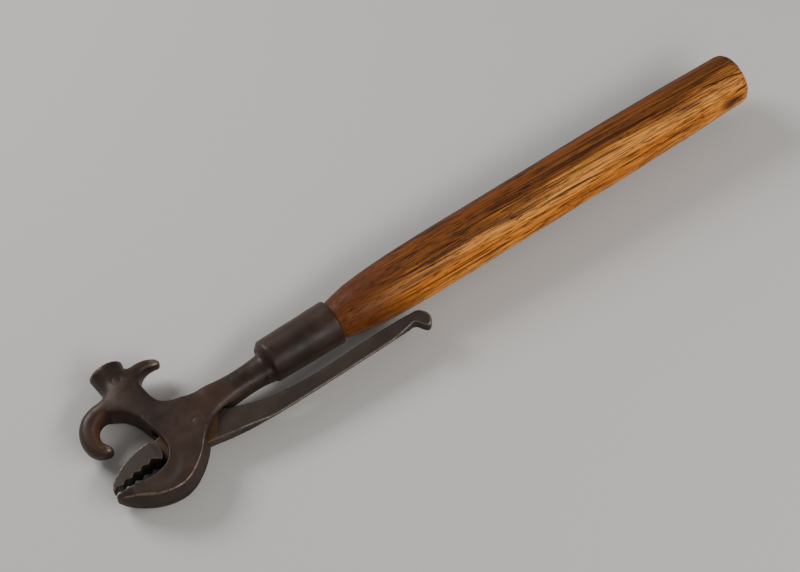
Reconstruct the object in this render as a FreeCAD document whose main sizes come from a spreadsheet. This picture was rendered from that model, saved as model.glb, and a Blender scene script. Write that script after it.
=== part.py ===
import FreeCAD, Part
import Sketcher
import math
import os

# Fencing pliers: a cast head with a socketed wooden handle, and a lever jaw on a rivet.
#
# Every piece is drawn in the tool's own plan: X runs along the handle towards its butt, Y lies across
# it in the plane that the jaws move in, Z is up. The plan's zero is on the handle's axis at the
# socket's rim. One shift, the same for every piece, then puts the whole tool over the row's origin.

V = FreeCAD.Vector
UP = V(0, 0, 1)

# ---------------------------------------------------------------- driving dimensions, millimetres
SIZES = [
    # the head's plate
    ("plate_thick", 19.0), ("plate_round", 1.2), ("belly_lip", 2.6), ("belly_lean", 7.5),
    ("cheek_gap", 8.2), ("tip_thick", 10.0), ("taper_start", 137.0), ("tip_reach", 146.0),
    ("belly_depth", 39.3), ("neck_taper_start", 90.0), ("neck_taper_end", 71.0),
    # the pivot
    ("pivot_back", 89.7), ("pivot_drop", 11.5), ("rivet_radius", 4.0), ("rivet_head_radius", 4.9),
    ("rivet_head_depth", 1.4), ("rivet_play", 0.06), ("hub_radius", 11.5), ("hub_clear", 0.6),
    # the hook
    ("hook_centre_back", 129.7), ("hook_centre_up", 10.2),
    ("hook_root_radius", 19.3), ("hook_tip_radius", 12.3),
    ("hook_root_wide", 9.9), ("hook_tip_wide", 6.4), ("hook_root_high", 18.0), ("hook_tip_high", 9.4),
    # the hammer poll and the claw
    ("poll_back", 115.2), ("poll_foot", 18.0), ("poll_face", 43.3), ("poll_radius", 9.7),
    ("poll_waist_radius", 8.3), ("poll_chamfer", 0.6), ("poll_lean", 2.0),
    ("claw_root_wide", 13.0), ("claw_tip_wide", 3.8), ("claw_root_high", 15.6), ("claw_tip_high", 7.2),
    # the neck and the socket
    ("neck_wide", 15.4), ("neck_high", 15.2), ("neck_drop", 2.7),
    ("socket_long", 44.2), ("socket_front_radius", 12.1), ("socket_rim_radius", 12.8),
    ("socket_chamfer", 3.0), ("socket_rim_round", 1.1),
    ("bore_deep", 36.0), ("bore_end_radius", 9.4), ("bore_mouth_radius", 10.7),
    # the lever
    ("lever_thick", 7.6), ("lever_round", 1.2), ("jaw_thick", 15.0), ("jaw_tip_thick", 7.0),
    ("jaw_taper_start", 118.0), ("tooth_depth", 1.7), ("tooth_pitch", 5.9),
    # the handle and its pin
    ("handle_out", 274.0), ("handle_waist_radius", 10.6), ("handle_radius", 16.5),
    ("handle_butt_radius", 15.3), ("butt_round", 5.0),
    ("pin_radius", 1.5), ("pin_back", 16.6), ("pin_reach", 12.2), ("pin_end_round", 0.3),
    # where the tool's plan goes in the row's frame, filled in at the end
    ("shift_along", 0.0), ("shift_across", 0.0), ("shift_up", 0.0),
]

doc = FreeCAD.newDocument("fencing_pliers")
sheet = doc.addObject("Spreadsheet::Sheet", "sizes")
ROW = {}
for row, (alias, value) in enumerate(SIZES, start=1):
    sheet.set(f"A{row}", alias)
    sheet.set(f"B{row}", str(value))
    sheet.setAlias(f"B{row}", alias)
    ROW[alias] = f"B{row}"
doc.recompute()


def size(alias):
    """A driving dimension, read back from the sheet."""
    return float(sheet.get(alias))


def bind(thing, **links):
    """Binds properties of an object to expressions on the sheet's cells."""
    for name, formula in links.items():
        thing.setExpression(name.replace("__", "."), formula)


# ---------------------------------------------------------------- helpers
def new_body(label):
    body = doc.addObject("PartDesign::Body", label)
    body.Label = label
    return body


def plane_of(body, role):
    return next(f for f in body.Origin.OriginFeatures if f.Role == role)


def new_sketch(body, name, role="XY_Plane"):
    sketch = body.newObject("Sketcher::SketchObject", name)
    sketch.AttachmentSupport = [(plane_of(body, role), "")]
    sketch.MapMode = "FlatFace"
    return sketch


def curve(points):
    """A smooth curve through plan points."""
    spline = Part.BSplineCurve()
    spline.interpolate([V(x, y, 0) for x, y in points])
    return spline


def line(a, b):
    return Part.LineSegment(V(*a, 0), V(*b, 0))


def arc(a, middle, b):
    return Part.Arc(V(*a, 0), V(*middle, 0), V(*b, 0))


def pad(body, sketch, name, thickness):
    """A pad that goes the same way above and below the tool's middle plane."""
    feature = body.newObject("PartDesign::Pad", name)
    feature.Profile = sketch
    feature.SideType = "Symmetric"
    bind(feature, Length=thickness)
    doc.recompute()
    return feature


def edges_at_height(shape, height, wanted):
    """Names of the edges that lie flat at that height, above or below, and whose box is wanted."""
    names = []
    for number, edge in enumerate(shape.Edges, start=1):
        box = edge.BoundBox
        if box.ZLength < 1e-6 and abs(abs(box.ZMin) - height) < 1e-6 and wanted(box):
            names.append(f"Edge{number}")
    return names


def rounded_section(centre, along, wide, high, corner):
    """A rectangle with round corners, standing on the plan and facing along a plan direction."""
    along = V(along).normalize()
    side = UP.cross(along)
    half_wide, half_high = wide / 2, high / 2
    corner = min(corner, half_wide * 0.96, half_high * 0.96)
    flat_wide, flat_high = half_wide - corner, half_high - corner
    middle = corner * math.sqrt(0.5)

    def at(across, up):
        return centre + side * across + UP * up

    edges = []
    for turn_across, turn_up in ((1, 1), (-1, 1), (-1, -1), (1, -1)):
        start = (turn_across * half_wide, turn_up * flat_high)
        crest = (turn_across * (flat_wide + middle), turn_up * (flat_high + middle))
        finish = (turn_across * flat_wide, turn_up * half_high)
        if turn_across * turn_up < 0:
            start, finish = finish, start
        edges.append(Part.Arc(at(*start), at(*crest), at(*finish)).toShape())
    ring = []
    for number, edge in enumerate(edges):
        following = edges[(number + 1) % 4]
        ring.append(edge)
        ring.append(Part.LineSegment(edge.lastVertex().Point, following.firstVertex().Point).toShape())
    return Part.Wire(ring)


def lofted(label, sections):
    """A closed solid through standing sections, as an object of the document."""
    solid = Part.makeLoft(sections, True, False)
    thing = doc.addObject("Part::Feature", label)
    thing.Shape = solid
    return thing


def check(thing):
    shape = thing.Shape
    if shape.isNull() or not shape.isValid() or not shape.Solids:
        raise RuntimeError(f"{thing.Label} has no sound solid")
    if any(word in thing.State for word in ("Invalid", "Error")):
        raise RuntimeError(f"{thing.Label} failed to build: {thing.State}")


PIVOT = V(-size("pivot_back"), -size("pivot_drop"), 0)


# ---------------------------------------------------------------- the head casting
def head_plate():
    """The plate that the jaws, the hook's root and the neck grow from, with its edges rounded."""
    body = new_body("head_plate")
    sketch = new_sketch(body, "plate_outline")
    tip = -size("tip_reach")
    belly = -size("belly_depth")
    neck_top, neck_low = (-72, 3.9), (-72, -11.2)
    claw_root, poll_right, poll_left = (-103.6, 25), (-105.6, 30), (-121.6, 30)
    hook_out, hook_in = (-126.6, 27.2), (-126.2, 18.8)
    throat = (-121.6, 16.4)
    bite_end, jaw_end = (tip + 0.7, -21.4), (tip, -22.8)
    for piece in (
        curve([neck_top, (-80, 4.2), (-87, 4.9), (-94.5, 6.4), (-99.6, 9.0), (-102.2, 13.5),
               (-103.4, 19), claw_root]),
        line(claw_root, poll_right),
        line(poll_right, poll_left),
        curve([poll_left, (-122.4, 28.6), (-124.2, 27.7), hook_out]),
        line(hook_out, hook_in),
        arc(hook_in, (-123.8, 17.9), throat),
        curve([throat, (-119, 14.2), (-116, 9.6), (-113.8, 4.4), (-112.2, -0.6), (-110.6, -7),
               (-110.3, -13), (-111.3, -17.2), (-113.9, -20.8), (-118.4, -23.2), (-124, -24.2),
               (-131.4, -23.7), (-138.4, -22.4), bite_end]),
        line(bite_end, jaw_end),
        curve([jaw_end, (-142.6, -27.6), (-136.4, -32.8), (-129, -36.6), (-122, -38.7), (-115.5, belly),
               (-108.8, -37.9), (-103, -34.7), (-97.5, -30.4), (-93, -25.7), (-89, -21.0),
               (-84.5, -17.3), (-78.5, -13.7), neck_low]),
        line(neck_low, neck_top),
    ):
        sketch.addGeometry(piece, False)
    plate = pad(body, sketch, "plate", "sizes.plate_thick")
    half = size("plate_thick") / 2
    belly_wall = body.newObject("PartDesign::Chamfer", "belly_wall")
    belly_wall.Base = (plate, edges_at_height(plate.Shape, half, lambda box: box.YMin < belly + 2))
    belly_wall.ChamferType = "Two distances"
    bind(belly_wall, Size="sizes.belly_lean", Size2="sizes.belly_lip")
    doc.recompute()
    rounding = body.newObject("PartDesign::Fillet", "plate_rounding")
    rounding.Base = (belly_wall, edges_at_height(
        belly_wall.Shape, half, lambda box: box.YMin > 3 and box.XMax > neck_top[0] - 1
    ))
    bind(rounding, Radius="sizes.plate_round")
    doc.recompute()
    return body


def thinning_wedges(label, start, end, thick, end_thick, near, far):
    """Two wedges, above and below, that thin a plate between two places along it."""
    wedges = []
    beyond = end + math.copysign(12, end - start)
    slope = (thick - end_thick) / 2 / (end - start)
    for sign in (1, -1):
        low = sign * thick / 2
        past = sign * (thick / 2 - slope * (beyond - start))
        lid = sign * (thick / 2 + 4)
        corners = [V(start, near, low), V(beyond, near, past), V(beyond, near, lid), V(start, near, lid)]
        face = Part.Face(Part.makePolygon(corners + corners[:1]))
        wedges.append(face.extrude(V(0, far - near, 0)))
    thing = doc.addObject("Part::Feature", label)
    thing.Shape = Part.makeCompound(wedges)
    return thing


def hook():
    """A hook that curls round a wire, thinner and lower towards its tip, where it is rounded off."""
    centre = V(-size("hook_centre_back"), size("hook_centre_up"), 0)
    root_radius, tip_radius = size("hook_root_radius"), size("hook_tip_radius")
    root_wide, root_high = size("hook_root_wide"), size("hook_root_high")
    tip_wide, tip_high = size("hook_tip_wide"), size("hook_tip_high")
    stations = [
        # degrees round the hook, outer radius, width, height
        (42, root_radius, root_wide, root_high),
        (75, root_radius - 0.6, root_wide - 0.1, root_high - 1.1),
        (110, root_radius - 1.4, root_wide + 0.5, root_high - 2.6),
        (145, root_radius - 2.2, root_wide + 0.7, root_high - 4.1),
        (175, tip_radius + 3.9, tip_wide + 3.5, tip_high + 3.4),
        (200, tip_radius + 3.0, tip_wide + 2.5, tip_high + 2.4),
        (220, tip_radius + 1.4, tip_wide + 1.2, tip_high + 1.2),
        (234, tip_radius, tip_wide, tip_high),
        (243, tip_radius - 0.7, tip_wide * 0.72, tip_high * 0.8),
        (247, tip_radius - 1.3, tip_wide * 0.44, tip_high * 0.54),
    ]
    sections = []
    for degrees, radius, wide, high in stations:
        angle = math.radians(degrees)
        out = V(math.cos(angle), math.sin(angle), 0)
        middle = centre + out * (radius - wide / 2)
        sections.append(rounded_section(middle, UP.cross(out), wide, high, 4.8))
    return lofted("hook", sections)


def claw():
    """A short horn beside the poll that bends back over the neck, for drawing staples."""
    root_wide, tip_wide = size("claw_root_wide"), size("claw_tip_wide")
    root_high, tip_high = size("claw_root_high"), size("claw_tip_high")
    stations = [
        # middle, width, height
        (-109.5, 29.0, root_wide, root_high),
        (-104.6, 31.8, root_wide - 2.4, root_high - 1.4),
        (-100.2, 33.1, root_wide - 5.2, root_high - 3.2),
        (-96.2, 33.6, tip_wide + 2.6, tip_high + 3.4),
        (-92.4, 32.9, tip_wide + 1.6, tip_high + 1.6),
        (-90.0, 31.6, tip_wide, tip_high),
        (-88.9, 30.6, tip_wide * 0.53, tip_high * 0.7),
    ]
    sections = []
    for step, (x, y, wide, high) in enumerate(stations):
        before, after = stations[max(step - 1, 0)], stations[min(step + 1, len(stations) - 1)]
        along = V(after[0] - before[0], after[1] - before[1], 0)
        sections.append(rounded_section(V(x, y, 0), along, wide, high, 3.2))
    return lofted("claw", sections)


def poll():
    """The round hammer poll, waisted behind its face."""
    radius, waist = size("poll_radius"), size("poll_waist_radius")
    foot, face, chamfer = size("poll_foot"), size("poll_face"), size("poll_chamfer")
    flank = Part.BSplineCurve()
    flank.interpolate([V(waist, foot, 0), V(waist, foot + 8, 0), V(radius - 0.7, face - 5, 0),
                       V(radius, face - chamfer, 0)])
    profile = Part.Wire([
        Part.LineSegment(V(0, foot, 0), V(waist, foot, 0)).toShape(),
        flank.toShape(),
        Part.LineSegment(V(radius, face - chamfer, 0), V(radius - chamfer, face, 0)).toShape(),
        Part.LineSegment(V(radius - chamfer, face, 0), V(0, face, 0)).toShape(),
        Part.LineSegment(V(0, face, 0), V(0, foot, 0)).toShape(),
    ])
    thing = doc.addObject("Part::Feature", "poll")
    thing.Shape = Part.Face(profile).revolve(V(0, 0, 0), V(0, 1, 0), 360)
    lean = FreeCAD.Rotation(UP, -size("poll_lean"))
    foot_point = V(0, foot, 0)
    back = V(-size("poll_back"), 0, 0)
    thing.Placement = FreeCAD.Placement(back + foot_point - lean.multVec(foot_point), lean)
    return thing


def neck():
    """The oval neck between the head's plate and the socket."""
    wide, high, drop = size("neck_wide"), size("neck_high"), size("neck_drop")
    plate = size("plate_thick")
    stations = [
        # back from the rim, middle, width, height, corner
        (-38.0, -1.6, wide + 3.2, high + 2.4, 8.0),
        (-43.5, -2.3, wide + 1.8, high + 0.8, 7.4),
        (-52.0, -drop, wide + 0.2, high, 7.0),
        (-62.0, -drop - 0.2, wide, high, 6.6),
        (-72.0, -3.3, 16.6, high + 0.8, 5.2),
        (-80.0, -4.2, 18.6, plate - 0.4, 3.4),
    ]
    sections = [rounded_section(V(x, y, 0), V(-1, 0, 0), w, h, c) for x, y, w, h, c in stations]
    return lofted("neck", sections)


def socket():
    """The round socket that holds the handle, before it is bored."""
    body = new_body("socket")
    sketch = new_sketch(body, "socket_profile")
    far, front, rim = size("socket_long"), size("socket_front_radius"), size("socket_rim_radius")
    corner = size("socket_chamfer")
    points = [(0, 0), (0, rim), (corner - far, front), (-far, front - corner), (-far, 0)]
    for number, point in enumerate(points):
        sketch.addGeometry(line(point, points[(number + 1) % len(points)]), False)
    for number in range(len(points)):
        sketch.addConstraint(Sketcher.Constraint("Coincident", number, 2, (number + 1) % len(points), 1))
    bound = [
        (1, "DistanceY", "sizes.socket_rim_radius"),
        (2, "DistanceX", "sizes.socket_chamfer - sizes.socket_long"),
        (2, "DistanceY", "sizes.socket_front_radius"),
        (3, "DistanceX", "-sizes.socket_long"),
        (3, "DistanceY", "sizes.socket_front_radius - sizes.socket_chamfer"),
    ]
    for number, kind, formula in bound:
        value = points[number]["XY".index(kind[-1])]
        index = sketch.addConstraint(Sketcher.Constraint(kind, -1, 1, number, 1, value))
        name = f"{kind[-1].lower()}_{number}"
        sketch.renameConstraint(index, name)
        bind(sketch, **{f"Constraints__{name}": formula})
    turned = body.newObject("PartDesign::Revolution", "socket_turning")
    turned.Profile = sketch
    turned.ReferenceAxis = (sketch, ["H_Axis"])
    turned.Angle = 360
    doc.recompute()
    rim_edge = [
        f"Edge{number}" for number, edge in enumerate(turned.Shape.Edges, start=1)
        if abs(edge.BoundBox.XMin) < 1e-4 and abs(edge.BoundBox.YLength - 2 * rim) < 1e-3
    ]
    rounding = body.newObject("PartDesign::Fillet", "socket_rounding")
    rounding.Base = (turned, rim_edge)
    bind(rounding, Radius="sizes.socket_rim_round")
    doc.recompute()
    return body


def lever_slot():
    """The space between the cheeks that the lever's hub and arms swing in."""
    body = new_body("lever_slot")
    sketch = new_sketch(body, "slot_outline")
    top = PIVOT.y + size("hub_radius") + size("hub_clear")
    low = PIVOT.y - size("hub_radius") - size("hub_clear")
    right = PIVOT.x + size("hub_radius") + size("hub_clear")
    corners = [(-122, -0.3), (-104, top), (PIVOT.x, top)]
    shoulder, exit_top, exit_low = (right - 0.6, PIVOT.y + 4.2), (-60, -14.5), (-60, -37)
    web, web_left = (-91.5, low - 0.2), (-97, low + 0.3)
    bulge = size("hub_radius") + size("hub_clear")
    turn = math.radians(50)
    crest = (PIVOT.x + bulge * math.cos(turn), PIVOT.y + bulge * math.sin(turn))
    for piece in (
        line(corners[0], corners[1]),
        line(corners[1], corners[2]),
        arc(corners[2], crest, shoulder),
        line(shoulder, exit_top),
        line(exit_top, exit_low),
        line(exit_low, (-85, -26.9)),
        line((-85, -26.9), web),
        line(web, web_left),
        line(web_left, (-122, -19.6)),
        line((-122, -19.6), corners[0]),
    ):
        sketch.addGeometry(piece, False)
    pad(body, sketch, "slot", "sizes.cheek_gap")
    return body


def bore():
    """The tapered bore in the socket, which the handle's tenon fills."""
    cone = doc.addObject("Part::Cone", "bore")
    bind(cone, Radius1="sizes.bore_end_radius", Radius2="sizes.bore_mouth_radius")
    bind(cone, Height="sizes.bore_deep")
    cone.Placement = FreeCAD.Placement(V(0, 0, 0), FreeCAD.Rotation(V(0, 1, 0), 90))
    bind(cone, Placement__Base__x="-sizes.bore_deep")
    return cone


def rivet_solid(label, play=0.0):
    """The rivet: a shank and two heads sunk flush in the cheeks. Used to cut its own seat too."""
    half = size("plate_thick") / 2
    shank, head, depth = size("rivet_radius") + play, size("rivet_head_radius"), size("rivet_head_depth")
    points = [
        (0, -half), (head, -half), (shank, depth - half),
        (shank, half - depth), (head, half), (0, half),
    ]
    corners = [V(r, 0, z) for r, z in points]
    face = Part.Face(Part.makePolygon(corners + corners[:1]))
    thing = doc.addObject("Part::Feature", label)
    thing.Shape = face.revolve(V(0, 0, 0), UP, 360)
    thing.Placement = FreeCAD.Placement(PIVOT, FreeCAD.Rotation())
    return thing


def pin_rod(label):
    """The straight hole for the handle's cross pin."""
    rod = doc.addObject("Part::Cylinder", label)
    bind(rod, Radius="sizes.pin_radius", Height="4 * sizes.socket_rim_radius")
    rod.Placement = FreeCAD.Placement(V(0, 0, 0), FreeCAD.Rotation(V(1, 0, 0), -90))
    bind(rod, Placement__Base__x="-sizes.pin_back", Placement__Base__y="-2 * sizes.socket_rim_radius")
    return rod


def fused(label, things):
    joined = doc.addObject("Part::MultiFuse", label)
    joined.Shapes = things
    doc.recompute()
    check(joined)
    return joined


def cut(label, base, tool):
    result = doc.addObject("Part::Cut", label)
    result.Base = base
    result.Tool = tool
    doc.recompute()
    check(result)
    return result


plate = head_plate()
jaw_wedges = thinning_wedges("fixed_jaw_taper", -size("taper_start"), -size("tip_reach"),
                             size("plate_thick"), size("tip_thick"), -16, -44)
neck_wedges = thinning_wedges("neck_taper", -size("neck_taper_start"), -size("neck_taper_end"),
                              size("plate_thick"), size("neck_high") - 1, 12, -22)
plate_tapered = cut("plate_tapered", cut("plate_jaw_tapered", plate, jaw_wedges), neck_wedges)
rough_head = fused("rough_head", [plate_tapered, hook(), claw(), poll(), neck(), socket()])
cutters = fused("head_cutters", [lever_slot(), bore(), rivet_solid("rivet_seat"), pin_rod("pin_hole")])
head_casting = cut("head_casting", rough_head, cutters)


# ---------------------------------------------------------------- the lever jaw
def tooth_line(start, end, count):
    """Saw teeth between two plan points: each falls to its tip, then steps back up to the next root."""
    depth = size("tooth_depth")
    along = V(end[0] - start[0], end[1] - start[1], 0)
    out = V(along).normalize().cross(UP) * -1
    points = [start]
    for tooth in range(count):
        low = V(*start, 0) + along * ((tooth + 0.42) / count) + out * depth
        root = V(*start, 0) + along * ((tooth + 1) / count)
        points += [(low.x, low.y), (root.x, root.y)]
    return points


def lever():
    """The lever: hub, tail with a curled end, and the jaw arm, all one plate, with a thick toothed jaw."""
    body = new_body("lever_plate")
    sketch = new_sketch(body, "lever_outline")
    hub = size("hub_radius")

    def on_hub(degrees):
        turn = math.radians(degrees)
        return PIVOT.x + hub * math.cos(turn), PIVOT.y + hub * math.sin(turn)

    tail_top, jaw_top = on_hub(40), on_hub(118)
    tail_low, jaw_low = on_hub(268), on_hub(236)
    back, shoulder_low, tip = (-114.5, -6.4), (-114.5, -18.4), (-145.2, -17.8)
    for piece in (
        curve([tail_top, (-76.4, -9.6), (-70.5, -12.6), (-57, -16.9), (-42, -19.5), (-25, -20.4),
               (36, -20.5)]),
        curve([(36, -20.5), (40.8, -21.6), (43.4, -25.2), (43.0, -29.8), (40.0, -32.2), (37.6, -30.4),
               (35.6, -27.2), (31.5, -26.4)]),
        curve([(31.5, -26.4), (0, -27.0), (-28, -27.3), (-55, -27.2), (-73.5, -26), tail_low]),
        arc(tail_low, on_hub(252), jaw_low),
        line(jaw_low, shoulder_low),
        line(shoulder_low, back),
        line(back, jaw_top),
        arc(jaw_top, on_hub(80), tail_top),
    ):
        sketch.addGeometry(piece, False)
    pad(body, sketch, "lever_pad", "sizes.lever_thick")
    rounding = body.newObject("PartDesign::Fillet", "lever_rounding")
    rounding.Base = (body.Group[1], edges_at_height(
        body.Shape, size("lever_thick") / 2, lambda box: box.XMax > -70
    ))
    bind(rounding, Radius="sizes.lever_round")
    doc.recompute()

    jaw = new_body("jaw_block")
    outline = new_sketch(jaw, "jaw_outline")
    heel_top, heel_low = (-117.0, -6.6), (-116.3, -18.6)
    teeth = tooth_line((-121.2, -15.0), (-142.8, -17.0), 4)
    edge = [heel_low] + teeth + [(-144.6, -18.4), tip]
    for first, second in zip(edge, edge[1:]):
        outline.addGeometry(line(first, second), False)
    outline.addGeometry(curve([tip, (-142.8, -14.0), (-138.6, -11.2), (-133.2, -8.8), (-127.6, -7.3),
                               heel_top]), False)
    outline.addGeometry(arc(heel_top, (-114.0, -12.8), heel_low), False)
    pad(jaw, outline, "jaw_pad", "sizes.jaw_thick")
    tip_wedges = thinning_wedges("lever_jaw_taper", -size("jaw_taper_start"), -size("tip_reach"),
                                 size("jaw_thick"), size("jaw_tip_thick"), -2, -24)
    jaw_tapered = cut("jaw_tapered", jaw, tip_wedges)
    blank = fused("lever_blank", [body, jaw_tapered])
    hole = doc.addObject("Part::Cylinder", "lever_hole")
    bind(hole, Radius="sizes.rivet_radius + sizes.rivet_play", Height="2 * sizes.plate_thick")
    bind(hole, Placement__Base__x="-sizes.pivot_back", Placement__Base__y="-sizes.pivot_drop",
         Placement__Base__z="-sizes.plate_thick")
    return cut("jaw_lever", blank, hole)


jaw_lever = lever()
pivot_rivet = rivet_solid("pivot_rivet")


# ---------------------------------------------------------------- the wooden handle and its pin
def handle():
    """The turned handle: a tapered tenon in the socket, a swelling grip and a rounded butt."""
    body = new_body("handle_turning")
    sketch = new_sketch(body, "handle_profile")
    out, waist, full = size("handle_out"), size("handle_waist_radius"), size("handle_radius")
    butt, corner = size("handle_butt_radius"), size("butt_round")
    mouth, deep, end = size("bore_mouth_radius"), size("bore_deep"), size("bore_end_radius")
    turn = math.sqrt(0.5)
    grip = curve([(0.6, waist), (6, 12.2), (14, 13.9), (27, 15.2), (45, 16.1), (75, full - 0.1),
                  (130, full), (190, full), (235, 16.0), (out - corner, butt)])
    butt_arc = arc((out - corner, butt), (out - corner + corner * turn, butt - corner + corner * turn),
                   (out, butt - corner))
    for piece in (
        line((-deep, 0), (-deep, end)),
        line((-deep, end), (0, mouth)),
        line((0, mouth), (0.6, waist)),
        grip,
        butt_arc,
        line((out, butt - corner), (out, 0)),
        line((out, 0), (-deep, 0)),
    ):
        sketch.addGeometry(piece, False)
    turned = body.newObject("PartDesign::Revolution", "handle_revolution")
    turned.Profile = sketch
    turned.ReferenceAxis = (sketch, ["H_Axis"])
    turned.Angle = 360
    doc.recompute()
    return cut("handle", body, pin_rod("handle_pin_hole"))


def pin():
    """The steel pin through socket and handle, its ends driven a little below the socket's skin."""
    rod = doc.addObject("Part::Cylinder", "pin_blank")
    bind(rod, Radius="sizes.pin_radius", Height="2 * sizes.pin_reach")
    doc.recompute()
    soft = doc.addObject("Part::Fillet", "handle_pin")
    soft.Base = rod
    ends = [
        number for number, edge in enumerate(rod.Shape.Edges, start=1)
        if edge.BoundBox.ZLength < 1e-6
    ]
    soft.Edges = [(number, size("pin_end_round"), size("pin_end_round")) for number in ends]
    return soft


handle_part = handle()
handle_pin = pin()
doc.recompute()

# ---------------------------------------------------------------- into the row's frame
PARTS = [head_casting, jaw_lever, pivot_rivet, handle_part, handle_pin]
handle_pin.Placement = FreeCAD.Placement(
    V(-size("pin_back"), -size("pin_reach"), 0), FreeCAD.Rotation(V(1, 0, 0), -90)
)
handle_pin.recompute()
whole = FreeCAD.BoundBox()
for part in PARTS:
    whole.add(part.Shape.optimalBoundingBox(False, False))
for alias, value in (
    ("shift_along", -whole.Center.x),
    ("shift_across", -whole.Center.y),
    ("shift_up", -whole.ZMin),
):
    sheet.set(ROW[alias], str(round(value, 3)))
doc.recompute()
shift = V(size("shift_along"), size("shift_across"), size("shift_up"))
for part in PARTS:
    part.Placement = FreeCAD.Placement(part.Placement.Base + shift, part.Placement.Rotation)
doc.recompute()

os.makedirs("parts", exist_ok=True)
for part in PARTS:
    check(part)
    part.Shape.exportStep(f"parts/{part.Label}.step")
    print(part.Label, "volume", round(part.Shape.Volume), "solids", len(part.Shape.Solids))
print("shift", shift, "overall", whole.XLength, whole.YLength, whole.ZLength)
print("pivot", PIVOT + shift)
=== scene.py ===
import bpy
import bmesh
import math
from mathutils import Matrix, Vector, noise


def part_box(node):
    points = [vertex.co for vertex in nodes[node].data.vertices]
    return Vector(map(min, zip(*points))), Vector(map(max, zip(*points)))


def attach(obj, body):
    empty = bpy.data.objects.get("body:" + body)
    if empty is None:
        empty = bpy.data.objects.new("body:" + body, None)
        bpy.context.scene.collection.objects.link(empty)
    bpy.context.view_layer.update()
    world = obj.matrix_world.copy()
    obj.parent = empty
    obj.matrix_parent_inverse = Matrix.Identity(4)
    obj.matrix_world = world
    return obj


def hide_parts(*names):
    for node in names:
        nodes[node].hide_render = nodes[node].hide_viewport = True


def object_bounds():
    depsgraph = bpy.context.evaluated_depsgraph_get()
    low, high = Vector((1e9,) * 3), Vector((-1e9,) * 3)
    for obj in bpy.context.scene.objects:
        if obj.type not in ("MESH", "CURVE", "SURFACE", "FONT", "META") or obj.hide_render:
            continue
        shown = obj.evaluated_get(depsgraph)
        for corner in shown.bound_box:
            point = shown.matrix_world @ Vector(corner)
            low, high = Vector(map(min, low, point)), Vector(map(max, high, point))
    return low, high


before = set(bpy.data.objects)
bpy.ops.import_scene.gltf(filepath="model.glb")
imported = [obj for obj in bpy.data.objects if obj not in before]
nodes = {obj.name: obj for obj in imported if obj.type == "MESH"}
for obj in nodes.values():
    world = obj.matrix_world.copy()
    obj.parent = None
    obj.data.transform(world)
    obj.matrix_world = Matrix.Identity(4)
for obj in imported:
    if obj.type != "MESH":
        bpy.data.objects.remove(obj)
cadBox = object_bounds()
mm = 0.001


# the tool's own plan: zero on the handle's axis at the socket's rim, +x to the butt, sizes in mm
handleLow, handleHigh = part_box("handle")
buttOut = 274.0
rim = Vector((handleHigh[0] - buttOut * mm, (handleLow[1] + handleHigh[1]) / 2, (handleLow[2] + handleHigh[2]) / 2))


def place(x, y, z=0.0):
    return rim + Vector((x, y, z)) * mm


def plan(co):
    return (co - rim) / mm


def clamp(value, low=0.0, high=1.0):
    return max(low, min(high, value))


def ease(value, low, high):
    t = clamp((value - low) / (high - low))
    return t * t * (3 - 2 * t)


# ---- shader maths, written as expressions on sockets
class Value:
    def __init__(self, graph, socket):
        self.graph, self.socket = graph, socket

    def math(self, operation, *values):
        return self.graph.add("Math", {"operation": operation}, dict(enumerate(values)))

    def __add__(self, other): return self.math("ADD", self, other)
    def __radd__(self, other): return self.math("ADD", other, self)
    def __sub__(self, other): return self.math("SUBTRACT", self, other)
    def __rsub__(self, other): return self.math("SUBTRACT", other, self)
    def __mul__(self, other): return self.math("MULTIPLY", self, other)
    def __rmul__(self, other): return self.math("MULTIPLY", other, self)
    def __truediv__(self, other): return self.math("DIVIDE", self, other)
    def __pow__(self, other): return self.math("POWER", self, other)

    def part(self, low, high):  # eases from 0 at low to 1 at high
        return self.graph.add("MapRange", {"interpolation_type": "SMOOTHSTEP"}, {0: self, 1: low, 2: high})


class Graph:
    def __init__(self, name):
        self.material = bpy.data.materials.new(name)
        self.material.use_nodes = True
        self.tree = self.material.node_tree
        self.tree.nodes.clear()
        self.here = self.add("TexCoord", out="Object")

    def add(self, kind, settings=None, sockets=None, out=0):
        node = self.tree.nodes.new("ShaderNode" + kind)
        for key, value in (settings or {}).items():
            setattr(node, key, value)
        for key, value in (sockets or {}).items():
            if isinstance(value, Value):
                self.tree.links.new(value.socket, node.inputs[key])
            elif isinstance(value, tuple) and len(value) == 3 and node.inputs[key].type == "RGBA":
                node.inputs[key].default_value = (*value, 1)
            else:
                node.inputs[key].default_value = value
        return Value(self, node.outputs[out]) if node.outputs else None

    def mix(self, factor, first, second):
        return self.add("Mix", {"data_type": "RGBA"}, {0: factor, 6: first, 7: second}, 2)

    def grain(self, scale, detail, rough, vector):
        values = {"Vector": vector, "Scale": scale, "Detail": detail, "Roughness": rough}
        return self.add("TexNoise", None, values)

    def stored(self, word):  # a value kept at each point of the mesh
        return self.add("Attribute", {"attribute_name": word}, None, "Fac")

    def stretched(self, turn=(0, 0, 0), scale=(1, 1, 1), at=(0, 0, 0), vector=None):
        values = {"Vector": vector or self.here, "Location": at, "Rotation": turn, "Scale": scale}
        return self.add("Mapping", None, values)

    def finish(self, shader):
        self.add("OutputMaterial", None, {"Surface": shader})
        return self.material


# ---- camera, light and floor
view = dict(at=place(-231.01, -394.48, 897.34), towards=(0.26788, 0.38554, -0.88295), lens=85.5)
camera = bpy.data.objects.new("camera", bpy.data.cameras.new("camera"))
camera.data.lens = view["lens"]
camera.data.sensor_width = 36
camera.location = view["at"]
camera.rotation_euler = Vector(view["towards"]).to_track_quat("-Z", "Y").to_euler()
camera.data.clip_start = 0.05
bpy.context.collection.objects.link(camera)
bpy.context.scene.camera = camera

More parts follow.
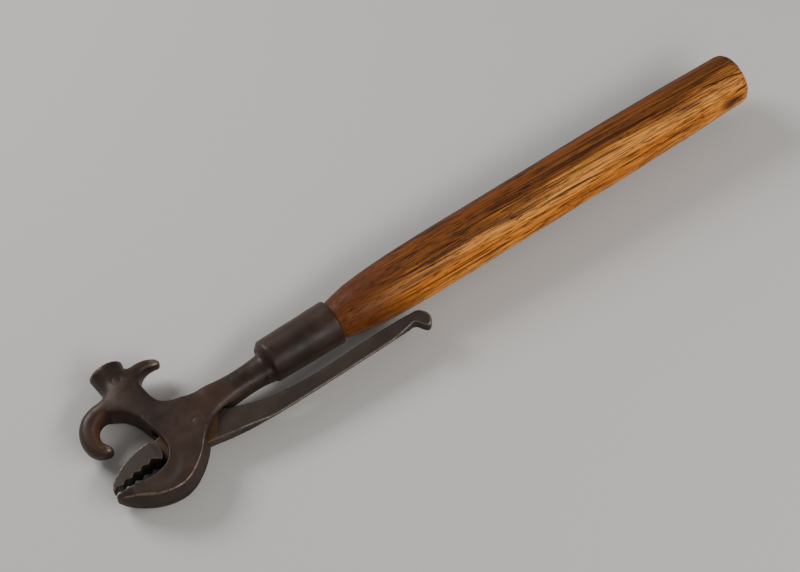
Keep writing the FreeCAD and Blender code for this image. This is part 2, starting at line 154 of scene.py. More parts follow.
studio = dict(
    front=dict(at=(0.42, -0.86, 0.88), size=(1.5, 0.34), power=11.0, colour=(1, 0.97, 0.93)),
    back=dict(at=(-0.5, 1.1, 0.85), size=(0.7, 0.5), power=15.0, colour=(1, 0.985, 0.97)),
    sky=(0.84, 0.82, 0.8), skyStrength=0.3, floor=(0.62, 0.61, 0.6), floorRough=0.85,
)
for name in ("front", "back"):
    light = studio[name]
    lamp = bpy.data.lights.new(name, "AREA")
    lamp.shape = "RECTANGLE"
    lamp.size, lamp.size_y = light["size"]
    lamp.energy = light["power"]
    lamp.color = light["colour"]
    lampObject = bpy.data.objects.new(name, lamp)
    lampObject.location = light["at"]
    lampObject.rotation_euler = (-Vector(light["at"])).to_track_quat("-Z", "Y").to_euler()
    bpy.context.collection.objects.link(lampObject)
world = bpy.data.worlds.new("studio")
bpy.context.scene.world = world
world.use_nodes = True
world.node_tree.nodes["Background"].inputs[0].default_value = (*studio["sky"], 1)
world.node_tree.nodes["Background"].inputs[1].default_value = studio["skyStrength"]

# the tool lies on the belly of its handle and on the flat of its head, so the floor leans a little
rest = dict(belly=(70.0, -16.5), head=(-141.0, -9.5), gap=0.2)
lean = math.atan2(rest["head"][1] - rest["belly"][1], rest["belly"][0] - rest["head"][0])
bm = bmesh.new()
bmesh.ops.create_grid(bm, x_segments=1, y_segments=1, size=2.0)
floorMesh = bpy.data.meshes.new("floor")
bm.to_mesh(floorMesh)
bm.free()
underBelly = place(rest["belly"][0], 0, rest["belly"][1] - rest["gap"])
floorMesh.transform(Matrix.Translation(underBelly) @ Matrix.Rotation(lean, 4, "Y"))
floor = bpy.data.objects.new("floor", floorMesh)
bpy.context.collection.objects.link(floor)
g = Graph("paleFloor")
floorLook = {"Base Color": studio["floor"], "Roughness": studio["floorRough"]}
floor.data.materials.append(g.finish(g.add("BsdfPrincipled", None, floorLook)))
print("camera, light and floor")


# ---- helpers for pieces
def startFrom(node):  # a merged copy of a frame node
    bm = bmesh.new()
    bm.from_mesh(nodes[node].data)
    bmesh.ops.remove_doubles(bm, verts=bm.verts, dist=1e-6)
    return bm


def makePiece(bm, name, body, replaced, material):
    mesh = bpy.data.meshes.new(name)
    for vert in bm.verts:  # nothing stands outside the box of the whole model
        vert.co = [clamp(value, cadBox[0][i], cadBox[1][i]) for i, value in enumerate(vert.co)]
    bm.to_mesh(mesh)
    bm.free()
    for face in mesh.polygons:
        face.use_smooth = True
    piece = bpy.data.objects.new(name, mesh)
    bpy.context.collection.objects.link(piece)
    piece.data.materials.append(material)
    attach(piece, body)
    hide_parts(replaced)
    return piece


def remeshed(bm, voxel):  # one closed skin of even small faces
    mesh = bpy.data.meshes.new("work")
    bm.to_mesh(mesh)
    bm.free()
    work = bpy.data.objects.new("work", mesh)
    bpy.context.collection.objects.link(work)
    remesh = work.modifiers.new("voxels", "REMESH")
    remesh.mode = "VOXEL"
    remesh.voxel_size = voxel
    result = bpy.data.meshes.new_from_object(work.evaluated_get(bpy.context.evaluated_depsgraph_get()))
    fresh = bmesh.new()
    fresh.from_mesh(result)
    bpy.data.objects.remove(work)
    return fresh


def soften(bm, verts, times):
    for _ in range(times):
        bmesh.ops.smooth_vert(bm, verts=verts, factor=0.5, use_axis_x=True, use_axis_y=True, use_axis_z=True)


# stores three values at each point: edge, which is how far it stands proud of a smoother shape, 1 at reach mm
# and below zero in hollows; the wear value, where 0 to 1 brightens the edges, more than 1 the whole skin, as
# rubbing and as painted sheen, highlights and glints, and less than 0 is grime and painted shade; and rust
def noteEdges(bm, times, reach, wornAndSheen, rusted):
    smooth = bm.copy()
    soften(smooth, smooth.verts, times)
    edgeLayer = bm.verts.layers.float.new("edge")
    wearAndLightLayer = bm.verts.layers.float.new("wearAndPaintedLight")
    rustLayer = bm.verts.layers.float.new("rust")
    bm.normal_update()
    smooth.verts.ensure_lookup_table()
    for vert in bm.verts:
        proud = (vert.co - smooth.verts[vert.index].co).dot(vert.normal) / mm
        vert[edgeLayer] = clamp(proud / reach, -1, 1)
        vert[wearAndLightLayer] = wornAndSheen(plan(vert.co), vert.normal)
        vert[rustLayer] = rusted(plan(vert.co), vert.normal)
    smooth.free()


# ---- iron
def ironMaterial(name, look):
    g = Graph(name)
    here = g.stretched(at=look["shift"])
    cloud = g.grain(38, 3, 0.5, here)
    patch = g.grain(150, 4, 0.55, here)
    fine = g.grain(620, 4, 0.6, here)
    speck = g.grain(1300, 2, 0.5, here)
    edge, wearAndPaintedLight, rust = (g.stored(word) for word in ("edge", "wearAndPaintedLight", "rust"))
    hollow = (0 - edge).part(0.15, 0.9)
    ridge = edge.part(0.25, 0.95) * wearAndPaintedLight.part(0, 1) * fine.part(0.25, 0.55)
    # above 1 the whole skin is lightened: rubbing, and painted sheen, highlights and glints
    rubbedAndSheen = wearAndPaintedLight.part(1, 2) * (cloud * 0.6 + fine * 0.8).part(0.3, 0.9)
    # below 0 the skin is darkened: grime, and painted shade on the side walls and at the socket's end
    grimeAndShade = wearAndPaintedLight.part(0, -1)
    colour = g.mix(cloud.part(0.32, 0.68), look["dark"], look["brown"])
    colour = g.mix(patch.part(0.55, 0.75) * look["rustiness"], colour, look["rusty"])
    colour = g.mix(hollow * 0.45, colour, look["rusty"])
    colour = g.mix(rust * (fine * 0.7 + patch * 0.6).part(0.4, 0.75), colour, look["rust"])
    colour = g.mix(rubbedAndSheen, colour, look["wornAndSheen"])
    colour = g.mix(ridge * 0.8, colour, look["wornAndSheen"])
    colour = g.mix(grimeAndShade, colour, look["pitAndShade"])
    colour = g.mix(speck.part(0.62, 0.74) * 0.5, colour, look["pitAndShade"])
    pits = patch.part(0.66, 0.78) * 0.4 + fine.part(0.62, 0.76) * 0.5
    height = fine * 0.25 + patch * 0.35 + rust * speck * 0.8 - pits
    bump = g.add("Bump", None, {"Strength": 0.25, "Distance": 0.0003, "Height": height})
    rough = look["rough"] + 0.12 * patch.part(0.3, 0.7) - 0.12 * ridge + 0.25 * rust + 0.3 * grimeAndShade
    return g.finish(g.add("BsdfPrincipled", None, {
        "Base Color": colour, "Roughness": rough, "Metallic": 0.6 * ridge, "Normal": bump,
        "Specular IOR Level": look["gloss"],
    }))


# ---- the head casting
headIron = ironMaterial("headIron", dict(
    dark=(0.019, 0.0092, 0.0062), brown=(0.044, 0.0228, 0.0152), rusty=(0.05, 0.018, 0.0096),
    rust=(0.1, 0.036, 0.012), wornAndSheen=(0.24, 0.175, 0.135), pitAndShade=(0.008, 0.0038, 0.0027),
    rustiness=0.5, rough=0.4, gloss=0.33, shift=(0, 0, 0),
))
pivotLow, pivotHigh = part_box("pivot_rivet")
pivot = plan((Vector(pivotLow) + Vector(pivotHigh)) / 2)
rivetMark = (pivot[0] - 1.3, pivot[1] - 1.5)
headSizes = dict(
    voxel=0.62, lumps=0.08, cheek=9.5, seat=5.3, cheekGap=4.2, pollX=-115.2, pollRound=9.5, pollSide=8.4,
    tipIn=0.9, dish=0.35, topFrom=7, rivetRing=3.1, rivetGroove=0.45,
    pollMark=(-113, 32.4), pollRing=2.3, pollGroove=0.22,
)
# places on the head, as plan x and y (and z), and which way they face
hookMid, hookOut, hookGlint = (-129.7, 10.2), 13, Vector((-134.6, 3.6, 4.2))
# the two facing directions point towards the front lamp, for the painted highlight on the lip and the painted sheen
# on the neck
jawMid, lipLightFacing, neckSheenFacing = (-121, -18), Vector((0.45, -0.85, 0.3)), Vector((0.2, -0.75, 0.6))
lipWearAndHighlightLine = [Vector(at) for at in ((-145.6, -23.6), (-141.1, -26.3), (-136, -29.2), (-128.4, -33.5))]
valley, valleyRun = (-115, 25.5), Vector((0.99, 0.12))
# where the casting runs together softly: plan x, y, how far it reaches, how much it is rounded
blends = [
    (-127, 22, 12, 1.0), (-122, 26, 10, 1.0), (-114, 27, 11, 1.0), (-106, 28, 9, 1.0), (-103, 18, 10, 0.8),
    (-114, 17, 10, 0.7), (-97, 7, 9, 0.6), (-80, 0, 11, 1.0), (-74, 0, 12, 1.0), (-66, -3, 10, 0.8),
    (-78, -12, 9, 0.8), (-44, -2, 4.5, 0.7), (-138, 3, 10, 0.7), (-143, 14, 10, 0.7), (-139, 22, 8, 0.7),
    (-105, 34, 5, 0.9), (-97, 34, 6, 0.4), (-124, 25, 7, 1.2), (-119, 24, 6, 1.2), (-124, 17, 6, 0.9),
    (-116, 11, 6, 0.8), (-108, 5, 5, 0.6), (-86, -18, 5, 0.7), (-77, -12, 7, 1.2), (-66, -10, 8, 1.2),
    (-54, -8, 8, 1.2),
]
bm = startFrom("head_casting")
depth = headSizes["cheek"] - headSizes["cheekGap"]
seat = headSizes["seat"] * mm
for side in (1, -1):  # the rivet is peened over, so the cheeks run on across it
    at = place(pivot[0], pivot[1], side * (headSizes["cheek"] - depth / 2))
    bmesh.ops.create_cone(bm, cap_ends=True, segments=48, radius1=seat, radius2=seat, depth=depth * mm,
                          matrix=Matrix.Translation(at))
bm = remeshed(bm, headSizes["voxel"] * mm)
# the square end of the plate is brought down to the round of the poll and the claw
pollRound = headSizes["pollRound"]
for vert in bm.verts:
    p = plan(vert.co)
    aside = p.x - headSizes["pollX"]
    if aside < 0:
        drop = pollRound - math.sqrt(pollRound ** 2 - min(-aside, headSizes["pollSide"]) ** 2)
    else:
        drop = min(0.02 * aside * aside, 2)
    most = headSizes["cheek"] - 0.75 * drop * ease(p.y, 14, 30) * (1 - ease(p.y, 31, 34))
    if 13 < p.y < 34 and -124 < p.x < -101 and abs(p.z) > most:
        vert.co.z += (math.copysign(most, p.z) - p.z) * mm


def castSoftness(p):
    return max(amount * ease(1.4 - Vector((p.x - x, p.y - y)).length / reach, 0, 0.7)
               for x, y, reach, amount in blends)


softness = [castSoftness(plan(v.co)) for v in bm.verts]
for least, times in ((0.15, 8), (0.4, 14), (0.6, 18), (0.8, 24), (1, 30)):
    soften(bm, [v for v, amount in zip(bm.verts, softness) if amount > least], times)
bm.normal_update()
flat = [v for v in bm.verts if abs(v.normal.z) > 0.85]
soften(bm, [v for v in flat if -144 < plan(v.co).x < -129 and plan(v.co).y < -15], 30)  # the fixed jaw's tip
soften(bm, bm.verts, 1)
bm.normal_update()


def ringAt(p, centre, radius, width):  # 1 on a ring drawn on the skin, and its direction in degrees
    arm = Vector((p.x - centre[0], p.y - centre[1]))
    on = 1 - ease(abs(arm.length - radius), 0.1, width)
    return (on if p.z > headSizes["topFrom"] else 0), math.degrees(math.atan2(arm.y, arm.x))


for vert in bm.verts:
    p = plan(vert.co)
    out = Vector((0, 0, 0))
    # the fixed jaw's lip draws in towards its tip, and the face inside the lip is a little hollow
    jaw = ease(-p.y, 15, 24) * ease(-p.x, 90, 102)
    away = Vector((p.x - jawMid[0], p.y - jawMid[1], 0))
    if jaw > 0 and away.length > 1:
        height = clamp(abs(p.z) / headSizes["cheek"])
        out -= away.normalized() * headSizes["tipIn"] * ease(-p.x, 128, 143) * ease(-p.y, 22, 27) * height ** 2
        if abs(vert.normal.z) > 0.6:
            hollow = jaw * ease(away.length, 2, 6) * (1 - ease(away.length, 11, 16))
            out.z -= math.copysign(headSizes["dish"] * hollow, p.z)
    # a crescent is left where the rivet's head was hammered down
    ring, turn = ringAt(p, rivetMark, headSizes["rivetRing"], 0.75)
    out.z -= headSizes["rivetGroove"] * ring * ease(turn, 0, 50) * (1 - ease(turn, 110, 140))
    out.z -= headSizes["pollGroove"] * ringAt(p, headSizes["pollMark"], headSizes["pollRing"], 0.9)[0]
    if p.x < -1:
        lumps = noise.noise(p * 0.11) + 0.5 * noise.noise(p * 0.35 + Vector((7, 1, 3)))
        out += vert.normal * headSizes["lumps"] * lumps
    vert.co += out * mm
soften(bm, bm.verts, 1)


def aroundHook(p):  # the arm from the hook's middle, its length, and its direction in degrees
    arm = Vector((p.x - hookMid[0], p.y - hookMid[1], 0))
    return arm, arm.length, math.degrees(math.atan2(arm.y, arm.x)) % 360


def fromLine(spot, points):  # the distance from a line through the points
    distances = []
    for a, b in zip(points, points[1:]):
        share = clamp((spot - a).dot(b - a) / (b - a).length_squared)
        distances.append((spot - a - (b - a) * share).length)
    return min(distances)


def headWearAndLight(p, normal):
    arm, reach, turn = aroundHook(p)
    wearAndPaintedLight = 0.1
    if p.y < -14:  # the fixed jaw's lip, a worn edge, brightened further as a painted highlight where it faces the front lamp
        lip = ease(normal.dot(lipLightFacing), 0.3, 0.7) * ease(normal.z, 0.35, 0.6) * ease(-p.y, 15, 24)
        wearAndPaintedLight = max(wearAndPaintedLight, lip * (1.25 + 0.5 * ease(-p.x, 126, 134)))
        # the worn lip and its painted highlight run on along this line to the tip
        onLine = 1 - ease(fromLine(Vector((p.x, p.y)), lipWearAndHighlightLine), 0.1, 0.6)
        wearAndPaintedLight = max(wearAndPaintedLight, (1 + 0.3 * ease(-p.x, 127, 131)) * onLine * ease(normal.z, 0.15, 0.4))
        if wearAndPaintedLight < 0.5:
            wearAndPaintedLight -= 0.3 * ease(-p.y, 15, 22) * ease(normal.z, 0.8, 0.95)
    if p.x < -41 and p.y < -5:  # painted sheen along the neck's lower edge, where it faces the front lamp
        smooth = ease(normal.dot(neckSheenFacing), 0.6, 0.95) * ease(p.x, -84, -70) * (1 - ease(p.x, -50, -42))
        wearAndPaintedLight = max(wearAndPaintedLight, 1.22 * smooth)
    if 120 < turn < 215 and reach < 11:  # the hook's inner edge
        wearAndPaintedLight = max(wearAndPaintedLight, 0.5 * (1 - ease(reach, 9.5, 11)))
    if p.y > 38:  # the edge of the poll's face
        wearAndPaintedLight = max(wearAndPaintedLight, 0.5 * ease(-p.x, 108, 120))
    if p.y > 28 and p.x > -98:  # the claw's tip
        wearAndPaintedLight = max(wearAndPaintedLight, 0.85 * ease(normal.z, 0.1, 0.7) * ease(p.x, -96, -91))
    # a painted glint on the hook's tip
    wearAndPaintedLight = max(wearAndPaintedLight, 1.4 * (1 - ease((p - hookGlint).length, 0.8, 3)))
    if p.y < -12 and p.x < -88 or 60 < turn < 250 and reach < hookOut:  # the side walls of the jaw and the hook are painted darker, as shade
        wearAndPaintedLight -= 0.65 * (1 - ease(normal.z, 0.05, 0.4)) * ease(normal.z, -0.5, -0.2)
    if p.x > -1.5:  # the socket's end face, beside the wood, is painted dark as shade between the parts
        wearAndPaintedLight = -0.7 * ease(normal.x, 0.3, 0.8)
    return wearAndPaintedLight


def headRust(p, normal):
    arm, reach, turn = aroundHook(p)
    rust = 0
    if 60 < turn < 250 and reach < hookOut:  # inside the hook
        inwards = -normal.dot(arm.normalized())
        rust = ease(inwards, 0.2, 0.8) * (1 - ease(turn, 215, 245)) * ease(turn, 70, 110) * 0.9
    if -134 < p.x < -98 and 12 < p.y < 34:  # in the valley between the poll and the hook's root
        off = (Vector((p.x - valley[0], p.y - valley[1])) - valleyRun * (p.x - valley[0])).length
        ends = ease(p.x, -132, -125) * (1 - ease(p.x, -108, -100))
        rust = max(rust, 0.22 * (1 - ease(off, 1.5, 6.5)) * ends)
    if p.x < -100 and -20 < p.y < 2:  # inside the mouth
        rust = max(rust, 0.45 * (1 - ease(abs(normal.z), 0.3, 0.7)) * ease(p.x, -116, -112))
    return rust


noteEdges(bm, 12, 0.14, headWearAndLight, headRust)
head = makePiece(bm, "headCasting", "tool", "head_casting", headIron)
print("head casting", len(head.data.polygons))

# ---- the lever jaw
leverIron = ironMaterial("leverIron", dict(
    dark=(0.027, 0.0172, 0.0132), brown=(0.04, 0.0255, 0.0192), rusty=(0.048, 0.0225, 0.0135),
    rust=(0.085, 0.04, 0.013), wornAndSheen=(0.3, 0.24, 0.195), pitAndShade=(0.008, 0.0055, 0.0045),
    rustiness=0.22, rough=0.37, gloss=0.42, shift=(0.31, 0.2, 0),
))
leverSizes = dict(voxel=0.4, lumps=0.06, tailFrom=-74, slope=0.09, slice=2, thin=1.1, broad=1.7)
rustStrip = dict(at=(-78.3, -11.9), across=Vector((-0.832, 0.555)))
bm = remeshed(startFrom("jaw_lever"), leverSizes["voxel"] * mm)
tailEnd = max(plan(v.co).x for v in bm.verts)
soften(bm, [v for v in bm.verts if plan(v.co).x > -78], 6)
soften(bm, bm.verts, 1)
bm.normal_update()
for vert in bm.verts:
    p = plan(vert.co)
    if p.x > -76:
        vert.co += vert.normal * leverSizes["lumps"] * mm * noise.noise(p * 0.12)
# along the tail the top is filed down a little, and spreads over the lower side; the tail's sides are found
# for each slice of its length
sides = {}
for vert in bm.verts:
    p = plan(vert.co)
    across = p.y - leverSizes["slope"] * p.x
    station = round(p.x / leverSizes["slice"])
    low, high = sides.get(station, (across, across))
    sides[station] = (min(low, across), max(high, across))
for vert in bm.verts:
    p = plan(vert.co)
    station = math.floor(p.x / leverSizes["slice"])
    if p.x > leverSizes["tailFrom"] and station + 1 in sides:
        step = p.x / leverSizes["slice"] - station
        low, high = (sides[station][i] * (1 - step) + sides[station + 1][i] * step for i in (0, 1))
        lower = clamp((high - p.y + leverSizes["slope"] * p.x) / (high - low))
        along = ease(p.x, leverSizes["tailFrom"], -52) * (1 - ease(p.x, tailEnd - 26, tailEnd - 7))
        vert.co.y -= leverSizes["broad"] * lower * along * ease(p.z, -3.5, 3) * mm
        vert.co.z -= leverSizes["thin"] * ease(p.z, 0, 3.8) * along * mm


def leverWearAndLight(p, normal):
    wearAndPaintedLight = 0.3
    if p.x > leverSizes["tailFrom"]:  # the lower edge of the tail is rubbed and carries a painted highlight where it faces the front lamp, and its end is rubbed and carries a painted glint
        wearAndPaintedLight = 0.6 * ease(-normal.y, 0.05, 0.5) * ease(normal.z, 0.2, 0.5)
        wearAndPaintedLight += 0.5 * ease(p.x, tailEnd - 4, tailEnd - 2)
    if p.x < -118:  # the jaw
        wearAndPaintedLight = 0.4
    # the side walls are painted darker, as shade
    return wearAndPaintedLight - 0.6 * (1 - ease(abs(normal.z), 0.05, 0.4))


def leverRust(p, normal):
    # the hub's rim, where it shows in the mouth
    rust = 0.9 * ease(-p.x, 106, 110) * (1 - ease(-p.x, 114, 117)) * (1 - ease(abs(p.z), 4.2, 5.0))
    # a strip on the top, just clear of the cheek
    strip = Vector((p.x - rustStrip["at"][0], p.y - rustStrip["at"][1])).dot(rustStrip["across"])
    if p.z > 2 and -96 < p.x < -70 and p.y < -6:
        rust = max(rust, 1.3 * ease(strip, 0.3, 1.6) * (1 - ease(strip, 4.5, 7)))
    return rust


noteEdges(bm, 8, 0.1, leverWearAndLight, leverRust)
lever = makePiece(bm, "jawLever", "lever", "jaw_lever", leverIron)
print("lever", len(lever.data.polygons))


# ---- turned pieces
def turned(profile, steps):  # spins a profile of (along, out) points in mm about x
    bm = bmesh.new()
    line = [bm.verts.new((x * mm, 0, r * mm)) for x, r in profile]
    line += [bm.edges.new(pair) for pair in zip(line, line[1:])]
    bmesh.ops.spin(bm, geom=line, cent=(0, 0, 0), axis=(1, 0, 0), angle=math.tau, steps=steps, use_merge=True)
    bmesh.ops.remove_doubles(bm, verts=bm.verts, dist=1e-6)
    bmesh.ops.recalc_face_normals(bm, faces=bm.faces)
    return bm


# ---- the wooden handle
# lengths in mm along the handle, and turns in degrees up from +y
wood = dict(
    gold=(1.0, 0.395, 0.062), amber=(0.7, 0.2, 0.017), brown=(0.2, 0.055, 0.008), shadedSide=(0.088, 0.0245, 0.0075),
    farShadeTone=(0.24, 0.066, 0.006), dark=(0.03, 0.0095, 0.0035), red=(0.105, 0.026, 0.008),
    pore=(0.012, 0.0045, 0.0025), rings=3.4, toPith=(46, 18), rough=0.43, varnish=0.03, gloss=0.16, lean=2.1,
    litSideAt=165, shadedTo=116, farShadeTo=70, farEdgeTo=52, redTo=(22, 70), wireFrom=(120, 135), wireTo=(165, 180),
    wireTurn=(100, 118), buttDarkFrom=(269.5, 273.5), buttDarkTo=40,
    knot=dict(along=260, turn=166, longness=0.022, wideness=0.065),
)
handleSizes = dict(
    profile=[(-35.8, 0), (-35.8, 9.3), (-1.0, 10.55), (0.6, 10.6), (2.2, 11.3), (6, 12.2), (14, 13.9),
             (27, 15.2), (45, 16.1), (75, 16.4), (130, 16.5), (190, 16.5), (235, 16.0), (269, 15.3),
             (271.2, 14.9), (272.9, 13.6), (273.7, 11.6), (274, 9), (274, 5), (274, 0)],
    step=1.6, around=112, oval=0.12, wavy=0.12, crackDeep=0.8, crackWide=0.5,
)
# the drying crack that runs in from the butt: along, degrees up from +y
crackPath = [(275, 116), (271, 115), (265, 109.5), (258, 107), (248, 100.5), (238, 97)]


# the profile again with more points, on a smooth line through the given ones
def divided(profile, step):
    fine = [profile[0]]
    for i in range(len(profile) - 1):
        a, b = Vector(profile[i]), Vector(profile[i + 1])
        before = Vector(profile[max(i - 1, 0)])
        after = Vector(profile[min(i + 2, len(profile) - 1)])
        count = max(1, round((b - a).length / step))
        bent = 1 < profile[i][0] < 270
        for k in range(1, count + 1):
            t = k / count
            if bent:
                point = 0.5 * (2 * a + (b - before) * t + (2 * before - 5 * a + 4 * b - after) * t * t
                               + (3 * a - before - 3 * b + after) * t ** 3)
                point.x = a.x + (b.x - a.x) * t
            else:
                point = a.lerp(b, t)
            fine.append(tuple(point))
    return fine


# distance from the crack's line in mm, and how far along it from its inner end, 0 to 1
def nearCrack(p):
    best, share = 99, 0
    inner, outer = crackPath[-1][0], crackPath[0][0]
    radius = max(Vector((p.y, p.z)).length, 1)
    turn = math.degrees(math.atan2(p.z, p.y))
    for (x0, t0), (x1, t1) in zip(crackPath, crackPath[1:]):
        along = clamp((p.x - x0) / (x1 - x0))
        wiggle = 0.5 * noise.noise(Vector((p.x * 0.25, 3, 0)))
        side = math.radians(turn - (t0 + (t1 - t0) * along)) * radius + wiggle
        distance = Vector((side, p.x - (x0 + (x1 - x0) * along))).length
        if distance < best:
            best, share = distance, (p.x - inner) / (outer - inner)
    return best, clamp(share)


bm = turned(divided(handleSizes["profile"], handleSizes["step"]), handleSizes["around"])
for _ in range(2):  # finer faces beside the crack
    near = [e for e in bm.edges if nearCrack(sum((v.co for v in e.verts), Vector()) / 2 / mm)[0] < 1.8]
    bmesh.ops.subdivide_edges(bm, edges=near, cuts=1, use_grid_fill=True)
bmesh.ops.triangulate(bm, faces=[f for f in bm.faces if len(f.verts) > 4])
cracks = bm.verts.layers.float.new("crack")
for vert in bm.verts:
    p = vert.co / mm
    radius = Vector((p.y, p.z)).length
    if radius < 0.01:
        continue
    out = Vector((0, p.y, p.z)) / radius
    turn = math.atan2(p.z, p.y)
    grow = 0
    if p.x > 3:
        grow = handleSizes["oval"] * math.cos(2 * turn + 0.6) - handleSizes["oval"]
        grow += handleSizes["wavy"] * (noise.noise(Vector((p.x * 0.03, out.y * 0.8, out.z * 0.8))) - 0.4)
        grow *= ease(p.x, 3, 20)
    distance, share = nearCrack(p)
    groove = (1 - ease(distance, 0.1, handleSizes["crackWide"])) * ease(share, 0.0, 0.5)
    vert[cracks] = groove
    p += out * (grow - groove * handleSizes["crackDeep"] * (1 - 0.6 * ease(p.x, 268, 272)))
    vert.co = p * mm
for vert in bm.verts:
    vert.co += rim


def woodMaterial(name, look):
    g = Graph(name)
    at = g.stretched(at=tuple(-rim))
    along, across, up = (g.add("SeparateXYZ", None, {"Vector": at}, axis) * 1000 for axis in "XYZ")
    # degrees round the handle from the middle of its golden side, which is painted as the lit side, then as a turn
    # up from +y
    c, s = math.cos(math.radians(look["litSideAt"])), math.sin(math.radians(look["litSideAt"]))
    upward, inward = up * c - across * s, across * c + up * s
    side = upward.math("ARCTAN2", upward, inward) * math.degrees(1)
    turn = look["litSideAt"] - (side * side) ** 0.5
    leant = g.stretched(turn=(0, 0, math.radians(look["lean"])), vector=at)

    def streaks(length, width, detail, rough=0.5):
        scale = (1000 / length, 1000 / width, 1000 / width)
        return g.grain(1.0, detail, rough, g.stretched(scale=scale, vector=leant))

    cloud = g.grain(26, 3, 0.5, at)
    band = streaks(120, 9, 3)
    streak = streaks(90, 2.6, 3, 0.6)
    lines = streaks(110, 1.05, 1.5)
    hairs = streaks(40, 0.72, 1)
    dashes = streaks(11, 0.8, 2)
    flecks = streaks(3.4, 0.75, 1)
    # growth rings about a pith well off to one side
    ringY = across + look["toPith"][0] + band * 9
    ringZ = up + look["toPith"][1] + along * 0.02 + cloud * 2
    ring = g.add("Math", {"operation": "FRACT"}, {0: (ringY * ringY + ringZ * ringZ) ** 0.5 / look["rings"]})
    late = ring.part(0.45, 0.9) * (1 - ring.part(0.93, 1.0))
    # painted shade: the handle darkens round towards its far side, to a deep orange near the far edge, and stays
    # golden on its lit side
    shadedSide = (look["shadedTo"] - turn + cloud * 50 - 25 + streak * 60 - 30).part(-24, 30)
    farShade = (look["farShadeTo"] - turn + cloud * 50 - 25 + streak * 30 - 15).part(-14, 16)
    colour = g.mix(band.part(0.3, 0.7), look["gold"], look["amber"])
    colour = g.mix(late * 0.45, colour, look["brown"])
    colour = g.mix(shadedSide * 0.88, colour, look["shadedSide"])
    colour = g.mix(farShade * 0.75, colour, look["farShadeTone"])
    # painted shade, darkest along the far edge
    farEdgeShade = (look["farEdgeTo"] - turn + cloud * 20 - 10).part(0, 18)
    colour = g.mix(farEdgeShade * 0.7, colour, look["dark"])
    # the swell next to the socket is smooth and reddish
    socketEnd = 1 - (along + cloud * 34 - turn * 0.08).part(*look["redTo"])
    colour = g.mix(socketEnd * 0.88, colour, look["red"])
    colour = g.mix(streak.part(0.5, 0.75) * 0.42, colour, look["brown"])
    line = lines.part(0.53, 0.62) * streak.part(0.3, 0.55)
    colour = g.mix(line * (0.72 - 0.4 * socketEnd), colour, look["dark"])
    colour = g.mix(hairs.part(0.52, 0.62) * (0.66 - 0.45 * socketEnd), colour, look["dark"])
    openness = cloud.part(0.35, 0.6) * 0.6 + 0.4
    pore = dashes.part(0.57, 0.64) * openness * 0.85 + flecks.part(0.62, 0.7) * 0.7 * streak.part(0.4, 0.6)
    colour = g.mix(pore * (0.92 - 0.3 * socketEnd), colour, look["pore"])
    pale = dashes.part(0.4, 0.33) * streak.part(0.55, 0.4)
    colour = g.mix(pale * 0.35 * (1 - shadedSide) * (1 - socketEnd), colour, look["gold"])
    # a knot by the butt's edge, and the far side of the butt's rounded end made darker
    knotAt, mmPerDegree = look["knot"], 0.27
    knotX, knotT = along - knotAt["along"], (side + look["litSideAt"] - knotAt["turn"]) * mmPerDegree
    fromKnot = (knotX * knotX * knotAt["longness"] + knotT * knotT * knotAt["wideness"]) ** 0.5
    knot = 1 - (fromKnot + cloud * 2 - 1 + streak * 1.6 - 0.8).part(0.35, 1.5)
    buttEndDark = (along + cloud * 3).part(*look["buttDarkFrom"]) * (look["buttDarkTo"] - turn + 60 * cloud).part(-20, 30)
    colour = g.mix(knot * 0.85, colour, look["dark"])
    colour = g.mix(buttEndDark * 0.7, colour, look["dark"])
    # thin marks across the grain, where wire has been pulled over the handle
    wireMarks = g.grain(1.0, 1, 0.5, g.stretched(scale=(950, 60, 60), vector=leant))
    wired = along.part(*look["wireFrom"]) - along.part(*look["wireTo"])
    marks = wireMarks.part(0.66, 0.7) * wired * turn.part(*look["wireTurn"])
    colour = g.mix(marks * 0.5, colour, look["dark"])
    crack = g.stored("crack")
    colour = g.mix(crack.part(0.08, 0.6) * 0.92, colour, look["pore"])
    height = 0.4 * streak - pore - 0.5 * line - 0.5 * marks
    bump = g.add("Bump", None, {"Strength": 0.4, "Distance": 0.0002, "Height": height})
    rough = look["rough"] + 0.2 * pore + 0.12 * streak - 0.06 * socketEnd + 0.06 * shadedSide
    return g.finish(g.add("BsdfPrincipled", None, {
        "Base Color": colour, "Roughness": rough, "Normal": bump, "Coat Weight": look["varnish"] - 0.2 * pore,
        "Coat Roughness": 0.35, "Specular IOR Level": look["gloss"],
    }))


handle = makePiece(bm, "woodHandle", "tool", "handle", woodMaterial("oiledWood", wood))
print("handle", len(handle.data.polygons))

# ---- the rivet and the pin
rivetMid = (Vector(pivotLow) + Vector(pivotHigh)) / 2
half = (pivotHigh[2] - pivotLow[2]) / 2 / mm
rivetSizes = dict(shank=4.0, head=4.85, crown=2.5, proud=0.04, headDeep=1.4)
rivetHalf = [
    (half + rivetSizes["proud"], 0), (half + rivetSizes["proud"] * 0.8, rivetSizes["crown"] * 0.6),
    (half - 0.05, rivetSizes["crown"]), (half - 0.6, rivetSizes["head"]),
    (half - rivetSizes["headDeep"], rivetSizes["shank"]),
]
bm = turned([(-x, r) for x, r in rivetHalf] + rivetHalf[::-1], 64)
bmesh.ops.rotate(bm, verts=bm.verts, cent=(0, 0, 0), matrix=Matrix.Rotation(-math.pi / 2, 3, "Y"))
for vert in bm.verts:
    if vert.co.z > (half - 0.1) * mm:  # the crown was hammered a little off the hole's middle
        vert.co += Vector((rivetMark[0] - pivot[0], rivetMark[1] - pivot[1], 0)) * mm
    vert.co += rivetMid
makePiece(bm, "pivotRivet", "tool", "pivot_rivet", headIron)

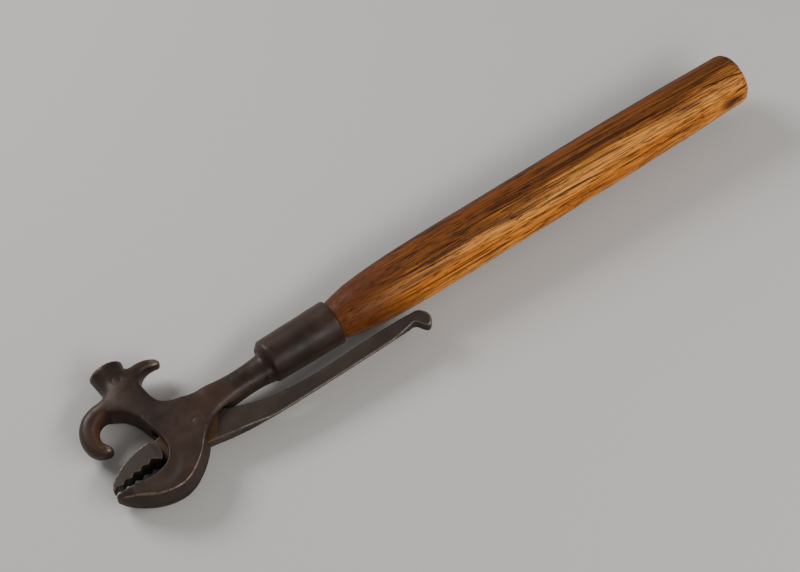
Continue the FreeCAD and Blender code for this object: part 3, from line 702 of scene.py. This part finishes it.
pinLow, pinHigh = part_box("handle_pin")
pinMid = (Vector(pinLow) + Vector(pinHigh)) / 2
pinHalf = (pinHigh[1] - pinLow[1]) / 2 / mm
pinRadius = (pinHigh[0] - pinLow[0]) / 2 / mm
pinEdge = dict(face=0.6, bevel=0.3)
bm = turned([
    (-pinHalf, 0), (-pinHalf, pinRadius * pinEdge["face"]), (pinEdge["bevel"] - pinHalf, pinRadius),
    (pinHalf - pinEdge["bevel"], pinRadius), (pinHalf, pinRadius * pinEdge["face"]), (pinHalf, 0),
], 40)
bmesh.ops.rotate(bm, verts=bm.verts, cent=(0, 0, 0), matrix=Matrix.Rotation(math.pi / 2, 3, "Z"))
for vert in bm.verts:
    vert.co += pinMid
makePiece(bm, "handlePin", "tool", "handle_pin", headIron)
print("rivet and pin")
